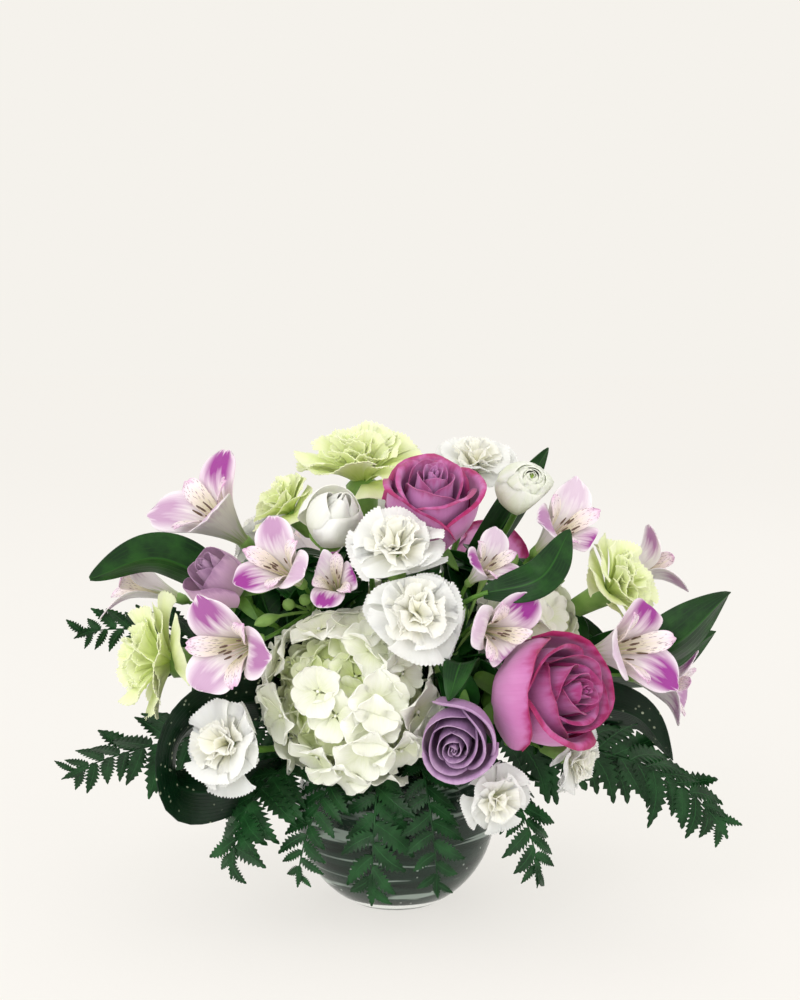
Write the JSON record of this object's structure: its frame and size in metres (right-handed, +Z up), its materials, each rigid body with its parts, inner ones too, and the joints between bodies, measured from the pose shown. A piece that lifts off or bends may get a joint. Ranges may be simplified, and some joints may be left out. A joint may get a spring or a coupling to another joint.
{
  "type": "floral table centerpiece",
  "caption": "Low table centerpiece of roses, carnations, hydrangea, alstroemeria, ranunculus and fern in a clear glass bubble bowl lined with a leaf.",
  "frame": {"origin": "middle of the glass bowl's flat foot, on the table", "axes": "+Z up, -Z out of the foot, -Y towards the front that the picture shows, +X along the width, the longest side"},
  "size_m": [0.4233, 0.2915, 0.3208],
  "materials": {
    "alstroemeria": "satin petal, white and lilac with purple patches",
    "aspidistra": "waxy dark green with pale spots",
    "carnation_green": "soft lime petal",
    "carnation_white": "soft white petal",
    "fern": "satin dark green",
    "foam": "wet green floral foam",
    "glass": "clear, polished",
    "hydrangea": "soft ivory petal, lime in the depths",
    "leaf": "glossy mid green",
    "ranunculus": "smooth white-green petal",
    "rose_lavender": "velvety petal, dusty mauve",
    "rose_mauve": "velvety petal, pale mauve",
    "rose_pink": "velvety petal, lilac with magenta edges",
    "stem": "satin green stalk"
  },
  "bodies": {
    "root": {"glass_bowl": "glass", "leaf_lining": "aspidistra", "foam_block": "foam", "rose_large_head": "rose_pink", "rose_large_stem": "stem", "rose_lavender_head": "rose_lavender", "rose_lavender_stem": "stem", "rose_top_head": "rose_pink", "rose_top_stem": "stem", "rose_mauve_head": "rose_mauve", "rose_mauve_stem": "stem", "rose_back_head": "rose_pink", "rose_back_stem": "stem", "rose_back_left_head": "rose_lavender", "rose_back_left_stem": "stem", "hydrangea_front": "hydrangea", "hydrangea_right": "hydrangea", "hydrangea_back": "hydrangea", "carnation_white_centre": "carnation_white", "carnation_white_upper": "carnation_white", "carnation_white_left": "carnation_white", "carnation_white_top": "carnation_white", "carnation_white_low": "carnation_white", "carnation_mini": "carnation_white", "carnation_green_top": "carnation_green", "carnation_green_low": "carnation_green", "carnation_green_left": "carnation_green", "carnation_green_right": "carnation_green", "carnation_white_back": "carnation_white", "carnation_green_back": "carnation_green", "carnation_white_back_left": "carnation_white", "ranunculus": "ranunculus", "white_bud": "ranunculus", "alstroemeria_top_left": "alstroemeria", "alstroemeria_left": "alstroemeria", "alstroemeria_centre": "alstroemeria", "alstroemeria_upper_right": "alstroemeria", "alstroemeria_right": "alstroemeria", "alstroemeria_far_left": "alstroemeria", "alstroemeria_far_right": "alstroemeria", "alstroemeria_back": "alstroemeria", "leaf_left": "leaf", "leaf_spear": "leaf", "leaf_hanging": "leaf", "leaf_right": "leaf", "leaf_right_low": "leaf", "leaf_top": "leaf", "aspidistra_left": "aspidistra", "aspidistra_right": "aspidistra", "fern_left_upper": "fern", "fern_left_lower": "fern", "fern_low_left": "fern", "fern_front_left": "fern", "fern_front": "fern", "fern_front_right": "fern", "fern_low_right": "fern", "fern_right": "fern", "fern_back_left": "fern", "fern_back_right": "fern"}
  },
  "joints": []
}
